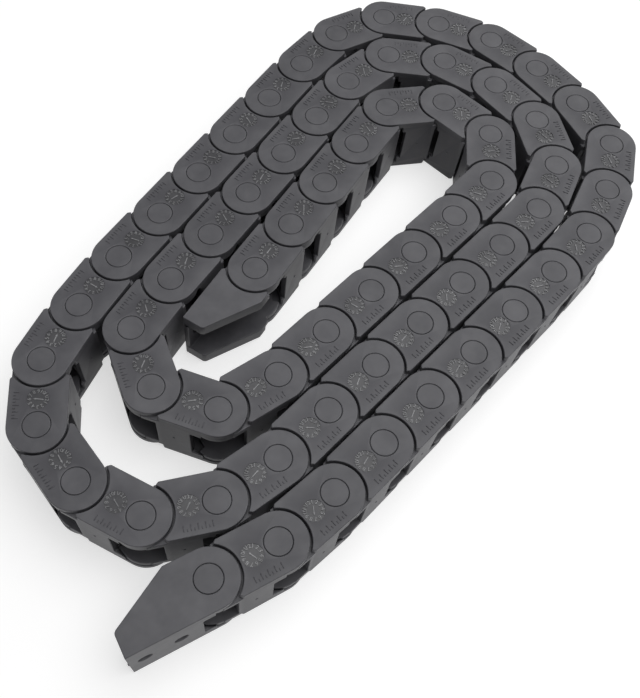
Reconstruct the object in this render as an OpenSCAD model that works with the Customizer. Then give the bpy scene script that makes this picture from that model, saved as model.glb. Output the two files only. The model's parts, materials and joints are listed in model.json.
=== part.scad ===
// Cable drag chain, closed type, lying on its side and coiled up, with an end bracket at each end.
// +Z runs along the pivots, the outer straight run lies along X, and the origin is on the floor
// below the middle of the coil. Link 1 is next to the outer bracket, link 62 next to the inner one.
// Pivot k joins link k to link k + 1: link k carries the bores, link k + 1 the bosses.
// A link is drawn with its own pivot at the origin and the pivot before it at -X. The chain only
// bends towards +Y of each link, and both brackets are fixed from their -Y side.

/* [Channel] */
// Inner height of the cable channel, between the cross bars
channel_h = 10; // [9:0.5:14]
// Inner width of the cable channel, between the tongues
channel_w = 10; // [8:0.5:20]

/* [Side walls] */
// Thickness of a head plate, the outer layer of a side wall
plate_t = 1.6; // [1.4:0.1:2]
// Thickness of a tongue, the inner layer of a side wall
tongue_t = 1.6; // [1.4:0.1:2]
// Thickness of a cross bar
bar_t = 1.35; // [1:0.05:1.6]
// Cut across the corners of a plate's tail
corner_cut = 0.65; // [0.6:0.05:0.8]

/* [Pivots] */
// Diameter of a pivot boss
boss_d = 5.9; // [5:0.1:6.2]
// Radial clearance of a boss in its bore
bore_play = 0.07; // [0.04:0.01:0.1]
// Clearance between a head plate and the tongue under it
layer_gap = 0.1; // [0.08:0.01:0.2]
// How much smaller than a head a tongue is, all round
tongue_inset = 0.15; // [0.1:0.05:0.3]
// Radial clearance of a tongue in its seat
seat_play = 0.3; // [0.2:0.05:0.4]
// Gap between a head and the tail of the plate behind it
tail_gap = 0.5; // [0.4:0.05:0.8]
// Largest angle between neighbouring links
bend_max = 54; // [54:1:56]

/* [Stops] */
// Radius that a stop tooth reaches in to, round the pivot
tooth_r = 4.7; // [4.5:0.05:5]
// Width of a stop tooth, in degrees round the pivot
tooth_angle = 22; // [16:1:28]
// Clearance between a stop tooth and the floor of its notch
tooth_play = 0.2; // [0.1:0.05:0.3]
// Free turn left between a stop tooth and the ends of its notch, in degrees
stop_slack = 1; // [1:0.5:2]

/* [End brackets] */
// Distance from a bracket's pivot to its free end
bracket_l = 20.1; // [18:0.1:26]
// Distance from a bracket's pivot to where its slanted edge starts
slant_start = 7; // [6.8:0.1:8]
// Height left at the free end, below the slanted edge
end_h = 5.4; // [4:0.1:7]
// Rounding of the corner between the slanted edge and the free end
end_r = 1.2; // [0.6:0.1:2]
// Diameter of a screw hole
screw_d = 3; // [2.5:0.1:3.4]
// Distance between the two screw holes
screw_pitch = 7.7; // [6:0.1:8.5]
// Distance from the free end to the nearest screw hole
screw_inset = 3.3; // [3:0.1:4]

/* [Coil] */
// Gap between the outer straight run and the turn inside it
turn_gap = 0.7; // [0.5:0.05:1.5]
// Turn of the outer bracket against link 1, in degrees
outer_bracket_bend = 1; // [0:1:3]
// Turn of the inner bracket against link 62, in degrees
inner_bracket_bend = 1; // [0:1:3]

/* [Hidden] */
$fn = 96;
eps = 0.01;

// Bends at the pivots in degrees, from the outer bracket to the inner one, run by run.
outer_end = [outer_bracket_bend, 13, 4];
outer_run = [0, 0, 0, 0];
turn_1 = [2, 15, 13, 40, 11, 11, 21, 14, 35, 23, 5];
back_run_1 = [0, 0, 0, 0];
turn_2 = [4, 5, 29, 34, 25, 40, 24, 9];
front_run_2 = [0, 0, 0, 0];
turn_3 = [1, 18, 36, 28, 19, 26, 48, 14];
back_run_2 = [0, 0, 0, 0];
turn_4 = [3, 52, 50, 53, 12];
front_run_3 = [0, 0, 0];
turn_5 = [1, 38, 52, 52, 47, 1];
inner_end = [0, 0, inner_bracket_bend];
bends = concat(outer_end, outer_run, turn_1, back_run_1, turn_2, front_run_2, turn_3, back_run_2,
               turn_4, front_run_3, turn_5, inner_end);
link_count = len(bends) - 1;

// Heading of every piece, from the outer bracket (0) to the inner one, with the outer run along X
first_heading = -(outer_end[0] + outer_end[1] + outer_end[2]);
headings = [for (k = 0, h = first_heading; k <= link_count + 1;
                 h = h + (k > link_count ? 0 : bends[k]), k = k + 1) h];

// Pivots of the coil for a pitch of 1
unit_pivots = [for (k = 0, p = [0, 0]; k <= link_count;
                    k = k + 1, p = p + [cos(headings[k]), sin(headings[k])]) p];

link_h = channel_h + 2 * bar_t;
wall_t = plate_t + layer_gap + tongue_t;
link_w = channel_w + 2 * wall_t;

// The pitch is the least that keeps the second turn clear of the outer run
outer_run_pivot = 4;
second_turn_pivot = 31;
pitch = (link_h + turn_gap) / (unit_pivots[second_turn_pivot] - unit_pivots[outer_run_pivot])[1];

head_r = link_h / 2;
tail_r = head_r + tail_gap;
tongue_r = head_r - tongue_inset;
tongue_seat_r = tongue_r + seat_play;
bore_r = boss_d / 2 + bore_play;
bar_y = head_r - bar_t;

// The bars run from the mitre behind to the seat of the next tongue
mitre = bend_max / 2 + stop_slack;
bar_end = -sqrt(pow(tongue_seat_r, 2) - pow(bar_y, 2));
bar_start = head_r * tan(mitre) - pitch;

// Corners of the outer bracket, which can reach past the pivots
outer_corners = [for (y = [-head_r, end_h - head_r]) [-bracket_l, y]];

// Moves the middle of the coil's footprint to the origin
pivots_raw = pitch * unit_pivots;
bracket_raw = [for (c = outer_corners) turned(c, first_heading)];
low_corner = [for (i = [0, 1]) min(concat([for (p = pivots_raw) p[i] - head_r],
                                          [for (c = bracket_raw) c[i]]))];
high_corner = [for (i = [0, 1]) max(concat([for (p = pivots_raw) p[i] + head_r],
                                           [for (c = bracket_raw) c[i]]))];
middle = (low_corner + high_corner) / 2;
pivots = [for (p = pivots_raw) p - middle];

function turned(p, a) = [p[0] * cos(a) - p[1] * sin(a), p[0] * sin(a) + p[1] * cos(a)];

// Links in the straight inner runs that share a node with the link after them
paired = [30, 32, 51, 53];
function is_in(k, list) = len([for (v = list) if (v == k) k]) > 0;
function two_digits(k) = str(k < 10 ? "0" : "", k);
function link_node(k) =
    is_in(k, paired) ? str("links_", two_digits(k), "_", two_digits(k + 1))
                     : str("link_", two_digits(k));
own_nodes = [for (k = [1:link_count]) if (!is_in(k - 1, paired)) k];

// ---- Outlines, seen along the pivots ----

// A sector of a disc round the origin, from angle a to angle b
module sector(r, a, b) {
    far = 2 * r;
    intersection() {
        circle(r = r);
        polygon([[0, 0], far * [cos(a), sin(a)], far * [cos((a + b) / 2), sin((a + b) / 2)],
                 far * [cos(b), sin(b)]]);
    }
}

// A sector of a ring round the origin
module ring_sector(r_in, r_out, a, b) {
    difference() {
        sector(r_out, a, b);
        circle(r = r_in);
    }
}

// From the pivot behind as far as this piece's own pivot
module strip_outline() {
    translate([-pitch, -head_r]) square([pitch, link_h]);
}

module head_plate_outline() {
    difference() {
        union() {
            circle(r = head_r);
            strip_outline();
        }
        circle(r = bore_r);
    }
}

// What a tail leaves free round the head before it: a disc, and a cut across each corner
module tail_outline() {
    corner_y = head_r - corner_cut;
    corner_x = sqrt(pow(tail_r, 2) - pow(corner_y, 2));
    circle(r = tail_r);
    for (side = [-1, 1])
        polygon([[0, side * link_h], [0, side * corner_y], [corner_x, side * corner_y],
                 [corner_x + 2 * corner_cut, side * (corner_y + 2 * corner_cut)],
                 [corner_x + 2 * corner_cut, side * link_h]]);
}

// What an inner layer leaves free at its own pivot. The next tongue turns in it, and a tooth that
// stops that tongue is left standing
module seat_outline() {
    difference() {
        circle(r = tongue_seat_r);
        ring_sector(tooth_r, link_h, 180 - tooth_angle / 2, 180 + tooth_angle / 2);
    }
    sector(link_h, 30, 90 + mitre);
}

// The disc of a tongue round the origin, with what follows it cut back for the piece before. The
// notch in its rim is where the tooth of the piece before moves, from straight to full bend
module tongue_outline() {
    half_notch = tooth_angle / 2 + stop_slack;
    difference() {
        union() {
            circle(r = tongue_r);
            difference() {
                children();
                sector(link_h, 90 - mitre, 120);
            }
        }
        ring_sector(tooth_r - tooth_play, link_h, 180 - bend_max - half_notch, 180 + half_notch);
    }
}

// ---- One side of a piece, with its outer face at z = 0 ----

module outer_layer() {
    linear_extrude(plate_t) children();
}

module inner_layer() {
    translate([0, 0, plate_t - eps]) linear_extrude(wall_t - plate_t + eps) children();
}

// The recess that the head before lies in
module head_recess() {
    translate([0, 0, -eps]) linear_extrude(plate_t + layer_gap + eps) tail_outline();
}

module boss() {
    cylinder(d = boss_d, h = plate_t + layer_gap + tongue_t / 2);
}

module link_wall() {
    outer_layer() head_plate_outline();
    inner_layer()
        difference() {
            translate([-pitch, 0]) tongue_outline() translate([pitch, 0]) strip_outline();
            seat_outline();
        }
}

// ---- Pieces ----

// Its children on both side walls, those of the far wall mirrored
module both_sides() {
    children();
    translate([0, 0, link_w]) mirror([0, 0, 1]) children();
}

module cross_bar(side) {
    translate([bar_start, side > 0 ? bar_y : -head_r]) cube([bar_end - bar_start, bar_t, link_w]);
}

module chain_link() {
    color("#26262a") {
        difference() {
            union() {
                both_sides() link_wall();
                for (side = [-1, 1]) cross_bar(side);
            }
            translate([-pitch, 0]) both_sides() head_recess();
        }
        translate([-pitch, 0]) both_sides() boss();
    }
}

// Outline of a bracket with its pivot at the origin and its free end at +X or -X
module bracket_outline(end_side) {
    mirror([end_side < 0 ? 1 : 0, 0])
        difference() {
            translate([0, -head_r]) square([bracket_l, link_h]);
            slanted_cut();
        }
}

// What the slanted edge and its rounded corner take away
module slanted_cut() {
    end_y = end_h - head_r;
    slant = atan2(head_r - end_y, bracket_l - slant_start);
    // the corner's rounding touches the slanted edge and the free end
    corner_y = end_y - end_r * tan((90 - slant) / 2);
    touch = [bracket_l - end_r + end_r * sin(slant), corner_y + end_r * cos(slant)];
    difference() {
        polygon([[slant_start, head_r], touch, [bracket_l - end_r, corner_y],
                 [bracket_l + 1, corner_y], [bracket_l + 1, head_r + 1], [slant_start, head_r + 1]]);
        translate([bracket_l - end_r, corner_y]) circle(r = end_r);
    }
}

module screw_holes(end_side) {
    for (x = [bracket_l - screw_inset, bracket_l - screw_inset - screw_pitch])
        translate([end_side * x, -head_r - eps, link_w / 2])
            rotate([-90, 0, 0]) cylinder(d = screw_d, h = bar_t + 2 * eps);
}

// The floor that the screws go through
module bracket_base(end_side) {
    start = end_side > 0 ? bar_start + pitch : -bar_end;
    difference() {
        translate([end_side > 0 ? start : -bracket_l, -head_r])
            cube([bracket_l - start, bar_t, link_w]);
        screw_holes(end_side);
    }
}

module outer_bracket_wall() {
    outer_layer()
        difference() {
            union() {
                circle(r = head_r);
                bracket_outline(-1);
            }
            circle(r = bore_r);
        }
    inner_layer()
        difference() {
            bracket_outline(-1);
            seat_outline();
        }
}

module inner_bracket_wall() {
    outer_layer() bracket_outline(1);
    inner_layer() tongue_outline() bracket_outline(1);
}

module outer_end_bracket() {
    color("#26262a") {
        both_sides() outer_bracket_wall();
        bracket_base(-1);
    }
}

module inner_end_bracket() {
    color("#26262a") {
        difference() {
            union() {
                both_sides() inner_bracket_wall();
                bracket_base(1);
            }
            both_sides() head_recess();
        }
        both_sides() boss();
    }
}

// Puts a piece on pivot k, turned to the heading of piece number piece
module placed(k, piece) {
    translate(pivots[k]) rotate(headings[piece]) children();
}

placed(0, 0) outer_end_bracket();
for (k = own_nodes)
    union() {
        placed(k, k) chain_link();
        if (is_in(k, paired)) placed(k + 1, k + 1) chain_link();
    }
placed(link_count, link_count + 1) inner_end_bracket();
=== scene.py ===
"""Dresses a cable drag chain that lies coiled on its side.

Each link and bracket is remade from its solid with rounded edges, and each link gets its date
dial, its row of ticks and its gate marks. The links are set on their pivots by Geometry Nodes.
Lengths are in metres unless a name ends in _mm.
"""

from __future__ import annotations

import json
import logging
import math
import random
from dataclasses import dataclass, field
from enum import Enum
from typing import Any, Iterable, Sequence

import bmesh
import bpy
import numpy as np
from mathutils import Euler, Matrix, Vector

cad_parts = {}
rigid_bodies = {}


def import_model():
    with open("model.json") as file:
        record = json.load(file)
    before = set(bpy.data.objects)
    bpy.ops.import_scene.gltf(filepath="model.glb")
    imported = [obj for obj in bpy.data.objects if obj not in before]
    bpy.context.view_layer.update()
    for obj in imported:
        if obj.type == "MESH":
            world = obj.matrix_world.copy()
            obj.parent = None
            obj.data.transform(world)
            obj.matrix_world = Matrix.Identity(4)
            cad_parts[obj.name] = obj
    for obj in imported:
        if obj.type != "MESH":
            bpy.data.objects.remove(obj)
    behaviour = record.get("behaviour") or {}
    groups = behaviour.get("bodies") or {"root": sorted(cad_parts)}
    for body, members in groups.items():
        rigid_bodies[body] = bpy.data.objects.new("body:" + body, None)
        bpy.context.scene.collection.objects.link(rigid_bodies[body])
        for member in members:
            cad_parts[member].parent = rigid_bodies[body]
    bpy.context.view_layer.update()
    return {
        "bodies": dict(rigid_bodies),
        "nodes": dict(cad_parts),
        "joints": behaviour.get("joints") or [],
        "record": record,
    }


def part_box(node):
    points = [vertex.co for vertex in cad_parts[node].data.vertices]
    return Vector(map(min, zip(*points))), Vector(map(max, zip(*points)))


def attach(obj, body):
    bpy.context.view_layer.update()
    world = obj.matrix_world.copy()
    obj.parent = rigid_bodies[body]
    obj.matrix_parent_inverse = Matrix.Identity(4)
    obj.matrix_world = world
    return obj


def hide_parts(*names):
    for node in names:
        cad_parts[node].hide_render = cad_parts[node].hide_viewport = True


LOG = logging.getLogger("drag_chain")
MM = 0.001
# How far raised marks and rounded edges are lightened in colour: a painted highlight, on the edges
# partly real wear.
RAISED_GLINT = 3.0
EDGE_GLINT = 0.45


class Tag(Enum):
    """Attributes that the meshes carry for the finish to read."""

    EDGE = "edge_wear"
    POLISH = "polished"
    TONE = "link_tone"
    HEADING = "heading"
    HAND = "hand_turn"


class Side(Enum):
    """The two edges of a link, seen from above with its head to the right."""

    OUTER = -1
    INNER = 1


# ---- Shader expressions ----


class Value:
    """A socket's output that takes part in Python arithmetic."""

    def __init__(self, shader: "Shader", socket: bpy.types.NodeSocket | None) -> None:
        """Wraps socket, and keeps the shader that new Math nodes go to."""
        self.shader = shader
        self.socket = socket

    def _math(self, operation: str, *values: Any) -> "Value":
        """Adds one Math node."""
        return self.shader.node("ShaderNodeMath", {"operation": operation}, dict(enumerate(values)))

    def __add__(self, other: Any) -> "Value":
        """self + other"""
        return self._math("ADD", self, other)

    def __radd__(self, other: Any) -> "Value":
        """other + self"""
        return self._math("ADD", other, self)

    def __sub__(self, other: Any) -> "Value":
        """self - other"""
        return self._math("SUBTRACT", self, other)

    def __rsub__(self, other: Any) -> "Value":
        """other - self"""
        return self._math("SUBTRACT", other, self)

    def __mul__(self, other: Any) -> "Value":
        """self * other"""
        return self._math("MULTIPLY", self, other)

    def __rmul__(self, other: Any) -> "Value":
        """other * self"""
        return self._math("MULTIPLY", other, self)

    def clamped(self, low: float = 0.0, high: float = 1.0) -> "Value":
        """self, held between low and high."""
        return self._math("MAXIMUM", self._math("MINIMUM", self, high), low)


class Shader:
    """Builds the nodes of one material, or of the sky."""

    def __init__(self, name: str, tree: bpy.types.NodeTree | None = None) -> None:
        """Empties the given tree, or makes a material called name."""
        if tree is None:
            self.material = bpy.data.materials.new(name)
            self.material.use_nodes = True
            tree = self.material.node_tree
        self.tree = tree
        self.tree.nodes.clear()

    def node(
        self,
        kind: str,
        settings: dict[str, Any] | None = None,
        inputs: dict[Any, Any] | None = None,
        output: Any = 0,
    ) -> Value:
        """Adds a node.

        Args:
            kind: The node's type.
            settings: The node's own properties, set first.
            inputs: Values or links, by the socket's name or number.
            output: Name or number of the socket that is wanted.

        Returns:
            The wanted output.
        """
        made = self.tree.nodes.new(kind)
        for key, setting in (settings or {}).items():
            setattr(made, key, setting)
        for key, given in (inputs or {}).items():
            if isinstance(given, Value):
                self.tree.links.new(given.socket, made.inputs[key])
            else:
                made.inputs[key].default_value = given
        return Value(self, made.outputs[output] if made.outputs else None)

    def mixed(self, factor: Value, first: Any, second: Any) -> Value:
        """A colour between first and second."""
        return self.node(
            "ShaderNodeMix", {"data_type": "RGBA"}, {0: factor, 6: first, 7: second}, output=2
        )

    def attribute(self, tag: Tag) -> Value:
        """The number that a mesh carries under tag."""
        return self.node("ShaderNodeAttribute", {"attribute_name": tag.value}, output="Fac")

    def noise(self, position: Value, size: float, detail: float = 2.0) -> Value:
        """Noise from 0 to 1 whose lumps are about size across."""
        return self.node(
            "ShaderNodeTexNoise",
            {},
            {"Vector": position, "Scale": 1 / size, "Detail": detail, "Roughness": 0.55},
        )


@dataclass(frozen=True)
class MouldedNylon:
    """Black nylon straight from the mould: a satin skin with a fine grain."""

    name: str = "black_nylon_moulded"
    dark: tuple[float, float, float] = (0.046, 0.0455, 0.052)
    light: tuple[float, float, float] = (0.078, 0.077, 0.086)
    # Painted highlight, with some real wear on the edges: the colour that raised marks and rounded
    # edges are lightened towards.
    rubbed: tuple[float, float, float] = (0.300, 0.300, 0.310)
    # Painted shade: the colour that the dial's recessed floor and numbers are darkened towards.
    sunken: tuple[float, float, float] = (0.022, 0.022, 0.025)
    specular: float = 0.28
    roughness: float = 0.48
    polish_roughness: float = 0.27
    grain_size: float = 0.16 * MM
    grain_depth: float = 0.010 * MM
    cloud_size: float = 4.5 * MM
    flow_stretch: float = 6.0

    def build(self) -> bpy.types.Material:
        """Returns the finished material."""
        shader = Shader(self.name)
        position = shader.node("ShaderNodeTexCoord", output="Object")
        streaked = shader.node(
            "ShaderNodeMapping", {}, {"Vector": position, "Scale": (1.0, 1.0, self.flow_stretch)}
        )
        cloud = shader.noise(position, self.cloud_size)
        flow = shader.noise(streaked, self.cloud_size / 3, 4.0)
        grain = shader.noise(position, self.grain_size, 3.0)
        tone = shader.attribute(Tag.TONE)
        edge = shader.attribute(Tag.EDGE)
        polish_and_shade = shader.attribute(Tag.POLISH)
        lightness = (cloud * 0.5 + flow * 0.35 + tone * 0.45 - 0.1).clamped()
        colour = shader.mixed(lightness, (*self.dark, 1.0), (*self.light, 1.0))
        # Darkens the dial's floor and numbers as painted shade in the recess.
        colour = shader.mixed(polish_and_shade * 0.8, colour, (*self.sunken, 1.0))
        # Lightens the raised marks and rounded edges: a painted highlight, on the edges partly real
        # wear.
        colour = shader.mixed((edge * cloud * 0.5).clamped(), colour, (*self.rubbed, 1.0))
        satin = self.roughness + (flow - 0.5) * 0.16 + (grain - 0.5) * 0.10 - edge * 0.06
        drop = self.roughness - self.polish_roughness
        rough = (satin - polish_and_shade * drop).clamped(0.12, 0.9)
        bump = shader.node(
            "ShaderNodeBump",
            {},
            {"Strength": 0.55, "Distance": self.grain_depth, "Height": grain * (1 - polish_and_shade)},
        )
        surface = shader.node(
            "ShaderNodeBsdfPrincipled",
            {},
            {
                "Base Color": colour,
                "Roughness": rough,
                "Normal": bump,
                "IOR": 1.53,
                "Specular IOR Level": self.specular,
            },
        )
        shader.node("ShaderNodeOutputMaterial", {}, {"Surface": surface})
        return shader.material


# ---- Where the links lie ----


@dataclass(frozen=True)
class Moments:
    """Volume moments of a closed mesh, seen along Z."""

    centre: np.ndarray
    axis_angle: float

    @classmethod
    def of(cls, corners: np.ndarray) -> "Moments":
        """Adds up the tetrahedra from the origin to each triangle.

        Args:
            corners: The triangles' corners, as an array of n x 3 x 3.

        Returns:
            The centre of volume, and the angle of the longest axis in the XY plane.
        """
        volumes = np.einsum("ij,ij->i", corners[:, 0], np.cross(corners[:, 1], corners[:, 2])) / 6
        total = volumes.sum()
        flat = corners[:, :, :2]
        sums = flat.sum(1)
        centre = (volumes[:, None] * sums / 4).sum(0) / total
        second = np.einsum("i,inj,ink->jk", volumes, flat, flat)
        second += np.einsum("i,ij,ik->jk", volumes, sums, sums)
        spread = second / 20 / total - np.outer(centre, centre)
        angle = 0.5 * math.atan2(2 * spread[0, 1], spread[0, 0] - spread[1, 1])
        return cls(centre, angle)


@dataclass(frozen=True)
class Place:
    """A piece's pivot and the way that its head points."""

    pivot: Vector
    heading: float

    def matrix(self) -> Matrix:
        """Takes the piece from its own frame to the chain's."""
        return Matrix.Translation(self.pivot) @ Matrix.Rotation(self.heading, 4, "Z")


def triangle_corners(mesh: bpy.types.Mesh) -> np.ndarray:
    """Returns the corners of the mesh's triangles, as n x 3 x 3."""
    mesh.calc_loop_triangles()
    points = np.zeros(len(mesh.vertices) * 3)
    mesh.vertices.foreach_get("co", points)
    index = np.zeros(len(mesh.loop_triangles) * 3, dtype=np.int32)
    mesh.loop_triangles.foreach_get("vertices", index)
    return points.reshape(-1, 3)[index].reshape(-1, 3, 3)


def solids_of(mesh: bpy.types.Mesh) -> list[np.ndarray]:
    """Splits a mesh into its closed solids.

    Args:
        mesh: The mesh, which may be loose triangles.

    Returns:
        The triangle corners of each solid.
    """
    corners = triangle_corners(mesh)
    keys: dict[tuple[int, ...], int] = {}
    parent: list[int] = []

    def root(item: int) -> int:
        """The item that stands for its whole group."""
        while parent[item] != item:
            parent[item] = parent[parent[item]]
            item = parent[item]
        return item

    first = []
    for triangle in np.round(corners / (0.0005 * MM)).astype(int):
        ids = []
        for corner in triangle:
            key = tuple(corner)
            if key not in keys:
                keys[key] = len(parent)
                parent.append(len(parent))
            ids.append(root(keys[key]))
        for other in ids[1:]:
            parent[root(other)] = root(ids[0])
        first.append(ids[0])
    labels = np.array([root(item) for item in first])
    return [corners[labels == label] for label in sorted(set(labels))]


@dataclass
class ChainLayout:
    """Works out where every piece lies from the solids and joints of the frame."""

    frame: dict[str, Any]
    reference_node: str = "link_07"
    reference_joint: str = "pivot_08"
    run_start_joint: str = "pivot_03"
    run_links: int = 5
    pitch: float = field(init=False)
    places: dict[str, list[Place]] = field(init=False, default_factory=dict)

    def __post_init__(self) -> None:
        """Reads the joints and measures every link."""
        self.pitch = (
            self.joint_point(self.reference_joint) - self.joint_point(self.run_start_joint)
        ).length / self.run_links
        self._place_links()
        self._place_bracket("outer_end_bracket", "pivot_01")
        self._place_bracket("inner_end_bracket", "pivot_63")

    def joint_point(self, name: str) -> Vector:
        """Where a joint's axis meets the floor."""
        joint = next(j for j in self.frame["joints"] if j["name"] == name)
        return Vector((*joint["pos_m"][:2], 0.0))

    def _place_links(self) -> None:
        """Finds each link's pivot and heading from its centre and longest axis."""
        nodes = self.frame["nodes"]
        names = sorted((n for n in nodes if n.startswith("link")), key=lambda n: n.split("_")[1])
        measured: list[tuple[str, Moments]] = []
        for name in names:
            found = [Moments.of(solid) for solid in solids_of(nodes[name].data)]
            last = measured[-1][1].centre if measured else np.zeros(2)
            found.sort(key=lambda m: float(np.linalg.norm(m.centre - last)))
            measured += [(name, moments) for moments in found]
        reference = next(m for n, m in measured if n == self.reference_node)
        offset = Vector((*reference.centre, 0.0)) - self.joint_point(self.reference_joint)
        for index, (name, moments) in enumerate(measured):
            before = measured[max(index - 1, 0)][1].centre
            after = measured[min(index + 1, len(measured) - 1)][1].centre
            heading = moments.axis_angle - reference.axis_angle
            along = Vector((math.cos(heading), math.sin(heading)))
            if along.dot(Vector(after - before)) < 0:
                heading += math.pi
            turned = Matrix.Rotation(heading, 4, "Z") @ offset
            pivot = Vector((*moments.centre, 0.0)) - turned
            self.places.setdefault(name, []).append(Place(pivot, heading))

    def _place_bracket(self, name: str, joint: str) -> None:
        """Takes a bracket's heading from the way that its foot faces."""
        foot = name.replace("_end", "") + "_foot"
        axis = next(m["axis"] for m in self.frame["record"]["mounts"] if m["name"] == foot)
        self.places[name] = [Place(self.joint_point(joint), math.atan2(axis[0], -axis[1]))]


# ---- Mesh helpers ----


def link_object(name: str, mesh: bpy.types.Mesh) -> bpy.types.Object:
    """Puts a mesh in the scene as an object at the origin."""
    made = bpy.data.objects.new(name, mesh)
    bpy.context.scene.collection.objects.link(made)
    return made


def baked(source: bpy.types.Object, name: str) -> bpy.types.Mesh:
    """Applies an object's modifiers and removes the object.

    Args:
        source: The object to evaluate.
        name: The new mesh's name.

    Returns:
        The plain mesh that its modifiers make.
    """
    bpy.context.view_layer.update()
    graph = bpy.context.evaluated_depsgraph_get()
    mesh = bpy.data.meshes.new_from_object(source.evaluated_get(graph))
    mesh.name = name
    bpy.data.objects.remove(source)
    return mesh


def join_meshes(name: str, meshes: Iterable[bpy.types.Mesh]) -> bpy.types.Mesh:
    """Puts several meshes into one, with their float attributes."""
    built = bmesh.new()
    for mesh in meshes:
        built.from_mesh(mesh)
    made = bpy.data.meshes.new(name)
    built.to_mesh(made)
    built.free()
    return made


def paint(mesh: bpy.types.Mesh, tag: Tag, values: Sequence[float] | float) -> None:
    """Writes a number to each vertex under tag."""
    layer = mesh.attributes.get(tag.value) or mesh.attributes.new(tag.value, "FLOAT", "POINT")
    count = len(mesh.vertices)
    numbers = [float(values)] * count if isinstance(values, (int, float)) else list(values)
    layer.data.foreach_set("value", numbers)


@dataclass(frozen=True)
class RoundedSolid:
    """Makes a solid of the frame ready to be seen, with rounded edges."""

    radius: float = 0.20 * MM
    segments: int = 2
    merge: float = 0.002 * MM
    flat_angle: float = math.radians(0.6)
    sharp_angle: float = math.radians(32.0)

    def build(self, corners: np.ndarray, place: Place, name: str) -> bpy.types.Mesh:
        """Rounds a solid's edges.

        Args:
            corners: The solid's triangles in the chain's frame.
            place: Where the piece lies.
            name: The new mesh's name.

        Returns:
            The mesh in the piece's own frame, with its edge wear painted on.
        """
        mesh = bpy.data.meshes.new(name)
        points = corners.reshape(-1, 3)
        faces = np.arange(len(points)).reshape(-1, 3)
        mesh.from_pydata(points.tolist(), [], faces.tolist())
        mesh.transform(place.matrix().inverted())
        built = bmesh.new()
        built.from_mesh(mesh)
        bmesh.ops.remove_doubles(built, verts=built.verts, dist=self.merge)
        bmesh.ops.dissolve_limit(
            built, angle_limit=self.flat_angle, verts=built.verts, edges=built.edges
        )
        built.to_mesh(mesh)
        built.free()
        rough = link_object(name, mesh)
        bevel = rough.modifiers.new("round_edges", "BEVEL")
        bevel.width = self.radius
        bevel.segments = self.segments
        bevel.limit_method = "ANGLE"
        bevel.angle_limit = self.sharp_angle
        bevel.use_clamp_overlap = False
        bevel.miter_outer = "MITER_ARC"
        made = baked(rough, name)
        self._mark_edges(made)
        return made

    def _mark_edges(self, mesh: bpy.types.Mesh) -> None:
        """Paints the rounded edges, which wear and catch the light."""
        built = bmesh.new()
        built.from_mesh(mesh)
        wear = []
        for vertex in built.verts:
            normals = [f.normal for f in vertex.link_faces if f.calc_area() > 1e-12]
            spread = [a.dot(b) for a in normals for b in normals]
            worn = bool(spread) and min(spread) < math.cos(math.radians(20))
            wear.append(EDGE_GLINT if worn else 0.0)
        built.free()
        paint(mesh, Tag.EDGE, wear)


# ---- What is moulded on a link ----


@dataclass(frozen=True)
class DateDial:
    """A shallow smooth disc with the numbers 1 to 12 and a hand, its floor darkened as painted
    shade.
    """

    centre_x: float = -5.85 * MM
    radius: float = 2.38 * MM
    depth: float = 0.12 * MM
    number_height: float = 0.84 * MM
    number_ring: float = 1.82 * MM
    relief: float = 0.17 * MM
    hand_length: float = 2.3 * MM
    hand_width: float = 0.22 * MM
    sides: int = 48

    def cutter(self, top: float) -> bpy.types.Mesh:
        """A disc that takes the dial's floor out of the plate.

        Args:
            top: Height of the plate's face.

        Returns:
            The disc, as a closed mesh.
        """
        reach = 1.0 * MM
        built = bmesh.new()
        bmesh.ops.create_cone(
            built,
            cap_ends=True,
            segments=self.sides,
            radius1=self.radius,
            radius2=self.radius,
            depth=reach,
            matrix=Matrix.Translation((self.centre_x, 0.0, top - self.depth + reach / 2)),
        )
        mesh = bpy.data.meshes.new("dial_cutter")
        built.to_mesh(mesh)
        built.free()
        return mesh

    def numbers(self, top: float) -> bpy.types.Mesh:
        """The raised numbers, standing on the dial's floor."""
        parts = []
        for hour in range(1, 13):
            angle = math.radians(90 - 30 * hour)
            turn = Matrix.Rotation(angle - math.pi / 2, 4, "Z")
            at = Vector((self.centre_x, 0.0, top - self.depth))
            ring = Vector((math.cos(angle), math.sin(angle), 0.0)) * self.number_ring
            parts.append(raised_text(str(hour), self.number_height, self.relief))
            parts[-1].transform(Matrix.Translation(at + ring) @ turn)
        return join_meshes("dial_numbers", parts)

    def hand(self, top: float) -> bpy.types.Mesh:
        """The dial's hand, an arrow along +X round the dial's centre."""
        half, wide = self.hand_length / 2, self.hand_width / 2
        head = 3.0 * self.hand_width
        outline = [
            (-half, -wide),
            (half - head, -wide),
            (half - head, -2.2 * wide),
            (half, 0.0),
            (half - head, 2.2 * wide),
            (half - head, wide),
            (-half, wide),
        ]
        return raised_outline("dial_hand", outline, top - self.depth, self.relief, RAISED_GLINT)


@dataclass(frozen=True)
class TickRow:
    """A row of plain raised ticks along the outer edge of a plate."""

    centre: tuple[float, float] = (-4.6 * MM, -4.55 * MM)
    length: float = 6.0 * MM
    height: float = 1.45 * MM
    width: float = 0.20 * MM
    relief: float = 0.12 * MM
    count: int = 9

    def build(self, top: float) -> bpy.types.Mesh:
        """Every other tick is a short one."""
        parts = []
        for index in range(self.count):
            x = self.centre[0] + self.length * (index / (self.count - 1) - 0.5)
            half = self.height / 2 * (1.0 if index % 2 == 0 else 0.45)
            low = self.centre[1] - self.height / 2
            outline = [
                (x - self.width / 2, low),
                (x + self.width / 2, low),
                (x + self.width / 2, low + 2 * half),
                (x - self.width / 2, low + 2 * half),
            ]
            parts.append(raised_outline("tick", outline, top, self.relief))
        return join_meshes("ticks", parts)


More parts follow.
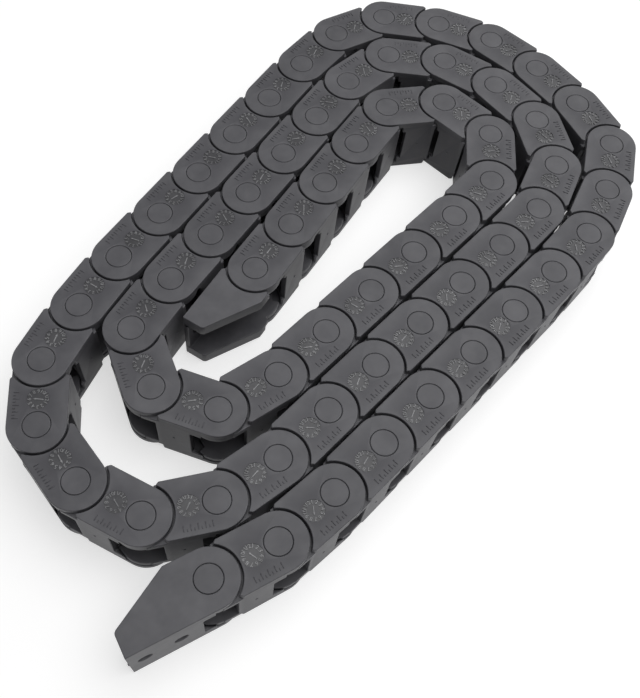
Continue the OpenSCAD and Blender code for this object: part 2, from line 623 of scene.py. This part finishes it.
@dataclass(frozen=True)
class GateMark:
    """The small round scar in the middle of a cross bar."""

    radius: float = 0.38 * MM
    height: float = 0.10 * MM
    sides: int = 16

    def build(self, at: Vector, out: Vector) -> bpy.types.Mesh:
        """A low blunt cone on a face.

        Args:
            at: The mark's middle, on the face.
            out: The way that the face looks.

        Returns:
            The closed mesh, sunk a little into the face.
        """
        sink = 0.05 * MM
        middle = at + out * (self.height - sink) / 2
        turn = out.to_track_quat("Z", "Y").to_matrix().to_4x4()
        built = bmesh.new()
        bmesh.ops.create_cone(
            built,
            cap_ends=True,
            segments=self.sides,
            radius1=self.radius,
            radius2=self.radius * 0.6,
            depth=self.height + sink,
            matrix=Matrix.Translation(middle) @ turn,
        )
        mesh = bpy.data.meshes.new("gate_mark")
        built.to_mesh(mesh)
        built.free()
        paint(mesh, Tag.EDGE, 0.0)
        return mesh


def raised_outline(
    name: str,
    outline: Sequence[tuple[float, float]],
    base: float,
    relief: float,
    glint: float = 0.0,
) -> bpy.types.Mesh:
    """A low prism whose top is a little smaller than its foot.

    Args:
        name: The new mesh's name.
        outline: The foot's corners, anticlockwise.
        base: Height of the face that it stands on.
        relief: How far it stands out of that face.
        glint: How much its edges catch the light.

    Returns:
        The closed mesh, sunk a little into the face.
    """
    sink = 0.03 * MM
    draft = 0.82
    centre = Vector((sum(p[0] for p in outline), sum(p[1] for p in outline))) / len(outline)
    built = bmesh.new()
    rings = []
    for height, scale in ((base - sink, 1.0), (base + relief, draft)):
        flat = [centre + (Vector(p) - centre) * scale for p in outline]
        rings.append([built.verts.new((p.x, p.y, height)) for p in flat])
    count = len(outline)
    built.faces.new(list(reversed(rings[0])))
    built.faces.new(rings[1])
    for i in range(count):
        j = (i + 1) % count
        built.faces.new((rings[0][i], rings[0][j], rings[1][j], rings[1][i]))
    mesh = bpy.data.meshes.new(name)
    built.to_mesh(mesh)
    built.free()
    # glint lightens the colour of the edges as a painted highlight.
    paint(mesh, Tag.EDGE, glint)
    paint(mesh, Tag.POLISH, 0.0)
    return mesh


def raised_text(text: str, height: float, relief: float) -> bpy.types.Mesh:
    """Plain numbers, centred on the origin and standing on z = 0.

    Args:
        text: The digits.
        height: Height of a digit.
        relief: How far they stand out.

    Returns:
        The closed mesh, sunk a little below z = 0.
    """
    sink = 0.03 * MM
    curve = bpy.data.curves.new("digits", "FONT")
    curve.body = text
    curve.size = 1.0
    curve.align_x = "CENTER"
    curve.align_y = "CENTER"
    curve.resolution_u = 2
    curve.extrude = 0.5
    made = bpy.data.objects.new("digits", curve)
    bpy.context.scene.collection.objects.link(made)
    mesh = baked(made, "digits")
    bpy.data.curves.remove(curve)
    tall = max(v.co.y for v in mesh.vertices) - min(v.co.y for v in mesh.vertices)
    scale = height / tall
    mesh.transform(Matrix.Diagonal((scale, scale, relief + sink, 1.0)))
    mesh.transform(Matrix.Translation((0.0, 0.0, (relief - sink) / 2)))
    built = bmesh.new()
    built.from_mesh(mesh)
    bmesh.ops.remove_doubles(built, verts=built.verts, dist=0.001 * MM)
    built.to_mesh(mesh)
    built.free()
    mesh.materials.clear()
    # The numbers get a painted highlight, and a smoother skin whose mark also darkens them as
    # painted shade.
    paint(mesh, Tag.EDGE, RAISED_GLINT)
    paint(mesh, Tag.POLISH, 0.6)
    return mesh


# ---- Sub-assemblies ----


@dataclass
class LinkDresser:
    """Makes the one link that all the others repeat, and the hand of its dial."""

    layout: ChainLayout
    finish: bpy.types.Material
    solid: RoundedSolid = RoundedSolid()
    dial: DateDial = DateDial()
    ticks: TickRow = TickRow()
    gate: GateMark = GateMark()
    bar_middle: float = -8.1 * MM

    def master(self) -> tuple[bpy.types.Object, bpy.types.Object]:
        """Builds the link and the hand in the link's own frame.

        Returns:
            The link's object and the hand's object.
        """
        name = self.layout.reference_node
        corners = triangle_corners(self.layout.frame["nodes"][name].data)
        low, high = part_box(name)
        top, half = high.z, (high.y - low.y) / 2
        body = self.solid.build(corners, self.layout.places[name][0], "link_body")
        body = self._sink_dial(body, top)
        marks = [self.dial.numbers(top), self.ticks.build(top)]
        for side in Side:
            on_bar = Vector((self.bar_middle, side.value * half, top / 2))
            marks.append(self.gate.build(on_bar, Vector((0.0, side.value, 0.0))))
        mesh = join_meshes("link", [body, *marks])
        mesh.materials.append(self.finish)
        mesh = shade(mesh)
        hand = self.dial.hand(top)
        hand.materials.append(self.finish)
        return link_object("link_master", mesh), link_object("hand_master", hand)

    def _sink_dial(self, body: bpy.types.Mesh, top: float) -> bpy.types.Mesh:
        """Cuts the dial's floor into the plate and marks it smooth, which also darkens it as
        painted shade.
        """
        plate = link_object("plate", body)
        disc = link_object("disc", self.dial.cutter(top))
        cut = plate.modifiers.new("dial_floor", "BOOLEAN")
        cut.operation = "DIFFERENCE"
        cut.solver = "EXACT"
        cut.object = disc
        made = baked(plate, "link_body")
        bpy.data.objects.remove(disc)
        floor = top - self.dial.depth
        # The floor's mark smooths its skin and also darkens its colour as painted shade in the
        # recess.
        paint(made, Tag.POLISH, [1.0 if abs(v.co.z - floor) < 1e-6 else 0.0 for v in made.vertices])
        return made


def shade(mesh: bpy.types.Mesh, angle: float = math.radians(50)) -> bpy.types.Mesh:
    """Shades smoothly but keeps the large faces flat.

    Args:
        mesh: The mesh to shade.
        angle: Edges sharper than this stay sharp.

    Returns:
        The mesh with its normals set.
    """
    mesh.polygons.foreach_set("use_smooth", [True] * len(mesh.polygons))
    mesh.set_sharp_from_angle(angle=angle)
    carrier = link_object(mesh.name, mesh)
    weighted = carrier.modifiers.new("flat_faces", "WEIGHTED_NORMAL")
    weighted.mode = "FACE_AREA"
    weighted.weight = 100
    weighted.keep_sharp = True
    return baked(carrier, mesh.name)


@dataclass
class LinkSetter:
    """The Geometry Nodes tree that sets links and their dial hands on pivots."""

    finish: bpy.types.Material
    link: bpy.types.Object
    hand: bpy.types.Object
    dial_x: float
    seed: int = 7
    tree: bpy.types.NodeTree = field(init=False)
    sockets: dict[str, str] = field(init=False, default_factory=dict)

    def __post_init__(self) -> None:
        """Builds the tree."""
        self.random = random.Random(self.seed)
        self.tree = bpy.data.node_groups.new("links_on_pivots", "GeometryNodeTree")
        self._socket("Pivots", "INPUT", "NodeSocketGeometry")
        self._socket("Link", "INPUT", "NodeSocketObject")
        self._socket("Hand", "INPUT", "NodeSocketObject")
        self._socket("Dial distance", "INPUT", "NodeSocketFloat")
        self._socket("Finish", "INPUT", "NodeSocketMaterial")
        self._socket("Links", "OUTPUT", "NodeSocketGeometry")
        self._wire()

    def _socket(self, name: str, way: str, kind: str) -> None:
        """Adds a named input or output."""
        made = self.tree.interface.new_socket(name=name, in_out=way, socket_type=kind)
        self.sockets[name] = made.identifier

    def _node(self, kind: str, **settings: Any) -> bpy.types.Node:
        """Adds a node with its own properties set."""
        made = self.tree.nodes.new(kind)
        for key, setting in settings.items():
            setattr(made, key, setting)
        return made

    def _wire(self) -> None:
        """Links the nodes: pivots, instances, realised mesh, material."""
        join = self.tree.links.new
        given = self._node("NodeGroupInput")
        heading = self._named(Tag.HEADING)
        hand_turn = self._named(Tag.HAND)
        link_turn = self._turn(heading)
        both = self._node("ShaderNodeMath", operation="ADD")
        join(heading, both.inputs[0])
        join(hand_turn, both.inputs[1])
        hand_heading = self._turn(both.outputs[0])
        out = self._node("ShaderNodeCombineXYZ")
        join(given.outputs["Dial distance"], out.inputs["X"])
        aside = self._node("ShaderNodeVectorRotate", rotation_type="Z_AXIS")
        join(out.outputs[0], aside.inputs["Vector"])
        join(heading, aside.inputs["Angle"])
        dials = self._node("GeometryNodeSetPosition")
        join(given.outputs["Pivots"], dials.inputs["Geometry"])
        join(aside.outputs[0], dials.inputs["Offset"])
        links = self._instances(given.outputs["Pivots"], given.outputs["Link"], link_turn)
        hands = self._instances(dials.outputs[0], given.outputs["Hand"], hand_heading)
        all_of_it = self._node("GeometryNodeJoinGeometry")
        join(links, all_of_it.inputs[0])
        join(hands, all_of_it.inputs[0])
        real = self._node("GeometryNodeRealizeInstances")
        join(all_of_it.outputs[0], real.inputs[0])
        dressed = self._node("GeometryNodeSetMaterial")
        join(real.outputs[0], dressed.inputs["Geometry"])
        join(given.outputs["Finish"], dressed.inputs["Material"])
        done = self._node("NodeGroupOutput")
        join(dressed.outputs[0], done.inputs[0])

    def _named(self, tag: Tag) -> bpy.types.NodeSocket:
        """A number carried by the pivots."""
        made = self._node("GeometryNodeInputNamedAttribute", data_type="FLOAT")
        made.inputs["Name"].default_value = tag.value
        return made.outputs["Attribute"]

    def _turn(self, angle: bpy.types.NodeSocket) -> bpy.types.NodeSocket:
        """A rotation about Z."""
        made = self._node("ShaderNodeCombineXYZ")
        self.tree.links.new(angle, made.inputs["Z"])
        turned = self._node("FunctionNodeEulerToRotation")
        self.tree.links.new(made.outputs[0], turned.inputs[0])
        return turned.outputs[0]

    def _instances(
        self,
        points: bpy.types.NodeSocket,
        source: bpy.types.NodeSocket,
        turn: bpy.types.NodeSocket,
    ) -> bpy.types.NodeSocket:
        """One instance of an object on each point."""
        info = self._node("GeometryNodeObjectInfo", transform_space="ORIGINAL")
        self.tree.links.new(source, info.inputs["Object"])
        placed = self._node("GeometryNodeInstanceOnPoints")
        self.tree.links.new(points, placed.inputs["Points"])
        self.tree.links.new(info.outputs["Geometry"], placed.inputs["Instance"])
        self.tree.links.new(turn, placed.inputs["Rotation"])
        return placed.outputs[0]

    def build(self, name: str, places: Sequence[Place]) -> bpy.types.Object:
        """Sets a link on each place.

        Args:
            name: The piece's name.
            places: Where its links lie.

        Returns:
            The piece, as a plain mesh.
        """
        points = bpy.data.meshes.new(name)
        points.from_pydata([p.pivot for p in places], [], [])
        paint(points, Tag.HEADING, [p.heading for p in places])
        paint(points, Tag.HAND, [self.random.uniform(0, 2 * math.pi) for _ in places])
        paint(points, Tag.TONE, [self.random.random() for _ in places])
        carrier = link_object(name, points)
        setter = carrier.modifiers.new("set_links", "NODES")
        setter.node_group = self.tree
        setter[self.sockets["Link"]] = self.link
        setter[self.sockets["Hand"]] = self.hand
        setter[self.sockets["Dial distance"]] = self.dial_x
        setter[self.sockets["Finish"]] = self.finish
        return link_object(name, baked(carrier, name))


@dataclass
class BracketDresser:
    """Rounds the end brackets and adds the scar of the gate at the outer one's free end."""

    layout: ChainLayout
    finish: bpy.types.Material
    solid: RoundedSolid = RoundedSolid(radius=0.22 * MM)
    gate: GateMark = GateMark(radius=0.40 * MM, height=0.25 * MM)
    gate_node: str = "outer_end_bracket"

    def build(self, node: str) -> bpy.types.Object:
        """Returns the dressed bracket."""
        place = self.layout.places[node][0]
        corners = triangle_corners(self.layout.frame["nodes"][node].data)
        mesh = self.solid.build(corners, place, node)
        if node == self.gate_node:
            mesh = join_meshes(node, [mesh, self._scar(mesh)])
        mesh.transform(place.matrix())
        paint(mesh, Tag.POLISH, 0.0)
        paint(mesh, Tag.TONE, 0.5)
        mesh.materials.append(self.finish)
        return link_object(f"moulded_{node}", shade(mesh))


    def _scar(self, mesh: bpy.types.Mesh) -> bpy.types.Mesh:
        """The gate's scar on the end of the foot."""
        low = [min(v.co[i] for v in mesh.vertices) for i in range(3)]
        high = max(v.co.z for v in mesh.vertices)
        at = Vector((low[0], low[1] + 1.6 * self.gate.radius, high * 0.45))
        return self.gate.build(at, Vector((-1.0, 0.0, 0.0)))


@dataclass(frozen=True)
class Softbox:
    """A round soft lamp that points at the middle of the coil."""

    name: str
    place: tuple[float, float, float]
    size: float
    power: float

    def build(self) -> None:
        """Hangs the lamp."""
        data = bpy.data.lights.new(self.name, "AREA")
        data.shape = "DISK"
        data.size = self.size
        data.energy = self.power
        lamp = bpy.data.objects.new(self.name, data)
        lamp.location = self.place
        lamp.rotation_euler = (-lamp.location).to_track_quat("-Z", "Y").to_euler()
        bpy.context.scene.collection.objects.link(lamp)


SOFTBOXES = (
    Softbox("overhead", (0.14, -0.12, 0.60), 0.70, 2.75),
    Softbox("sheen", (0.60, 0.10, 0.55), 0.50, 0.8),
)


@dataclass
class Studio:
    """The white table, the soft lights and the camera."""

    camera_at_mm: tuple[float, float, float] = (-96.1, -72.2, 186.9)
    camera_turn_deg: tuple[float, float, float] = (28.35, -2.74, -45.93)
    lens_mm: float = 49.04
    shift: tuple[float, float] = (0.052, -0.005)
    table_size: float = 4.0
    table_white: float = 0.55
    table_lift: float = 0.58
    lift_from: float = 0.16
    sky_strength: float = 0.27

    def build(self) -> None:
        """Makes the whole set."""
        self._camera()
        self._table()
        self._lights()
        bpy.context.scene.view_settings.view_transform = "Standard"

    def _camera(self) -> None:
        """The camera looks down on the coil from beside its outer end."""
        data = bpy.data.cameras.new("camera")
        data.lens = self.lens_mm
        data.sensor_fit = "HORIZONTAL"
        data.shift_x, data.shift_y = self.shift
        data.clip_start = 0.01
        data.clip_end = 20.0
        camera = bpy.data.objects.new("camera", data)
        camera.location = Vector(self.camera_at_mm) * MM
        camera.rotation_euler = Euler([math.radians(a) for a in self.camera_turn_deg])
        bpy.context.scene.collection.objects.link(camera)
        bpy.context.scene.camera = camera

    def _table(self) -> None:
        """A white table that the camera sees a little brighter than it is, least near the coil's
        middle, a painted shade on the floor round the coil.
        """
        shader = Shader("white_table")
        seen = self._seen(shader)
        place = shader.node("ShaderNodeTexCoord", output="Object")
        far = shader.node("ShaderNodeVectorMath", {"operation": "LENGTH"}, {0: place}, "Value")
        # The glow is weakest within lift_from of the middle and grows outwards: painted shade on
        # the floor round the coil.
        lift = seen * (self.table_lift + (far - self.lift_from).clamped())
        surface = shader.node(
            "ShaderNodeBsdfPrincipled",
            {},
            {
                "Base Color": (self.table_white, self.table_white, self.table_white, 1.0),
                "Roughness": 0.6,
                "Emission Color": (1.0, 1.0, 1.0, 1.0),
                "Emission Strength": lift,
            },
        )
        shader.node("ShaderNodeOutputMaterial", {}, {"Surface": surface})
        built = bmesh.new()
        bmesh.ops.create_grid(built, x_segments=1, y_segments=1, size=self.table_size / 2)
        mesh = bpy.data.meshes.new("table")
        built.to_mesh(mesh)
        built.free()
        mesh.materials.append(shader.material)
        table = link_object("table", mesh)
        table.location.z = -0.02 * MM

    @staticmethod
    def _seen(shader: Shader) -> Value:
        """1 for rays that show a surface or its reflection, 0 for light that falls on others."""
        rays = [
            shader.node("ShaderNodeLightPath", output=name)
            for name in ("Is Camera Ray", "Is Glossy Ray", "Is Transmission Ray")
        ]
        return (rays[0] + rays[1] + rays[2]).clamped()

    def _lights(self) -> None:
        """A plain sky all round and the soft lamps."""
        world = bpy.data.worlds.new("studio")
        world.use_nodes = True
        shader = Shader("sky", world.node_tree)
        seen = self._seen(shader)
        strength = seen + (1 - seen) * self.sky_strength
        sky = shader.node("ShaderNodeBackground", {}, {"Strength": strength})
        shader.node("ShaderNodeOutputWorld", {}, {"Surface": sky})
        bpy.context.scene.world = world
        for softbox in SOFTBOXES:
            softbox.build()


def body_of_node(frame: dict[str, Any], node: str) -> str:
    """The body that carries a node."""
    groups = frame["record"]["behaviour"]["bodies"]
    return next(body for body, members in groups.items() if node in members)


def fit_out(piece: bpy.types.Object, frame: dict[str, Any], node: str) -> None:
    """Lets a piece stand for its node and ride on its body."""
    body = body_of_node(frame, node)
    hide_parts(node)
    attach(piece, body)
    LOG.info("%s rides on %s, %d faces", piece.name, body, len(piece.data.polygons))


def main() -> None:
    """Builds the chain's pieces in order, then the studio round them."""
    logging.basicConfig(level=logging.INFO, format="%(name)s: %(message)s")
    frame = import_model()
    layout = ChainLayout(frame)
    LOG.info("pitch %.3f mm, %d pieces", layout.pitch / MM, len(layout.places))
    nylon = MouldedNylon().build()
    dresser = LinkDresser(layout, nylon)
    link, hand = dresser.master()
    setter = LinkSetter(nylon, link, hand, dresser.dial.centre_x)
    brackets = BracketDresser(layout, nylon)
    for node in sorted(frame["nodes"]):
        if node.startswith("link"):
            piece = setter.build(f"moulded_{node}", layout.places[node])
        else:
            piece = brackets.build(node)
        fit_out(piece, frame, node)
    for master in (link, hand):
        bpy.data.objects.remove(master)
    Studio().build()


if __name__ == "__main__":
    main()
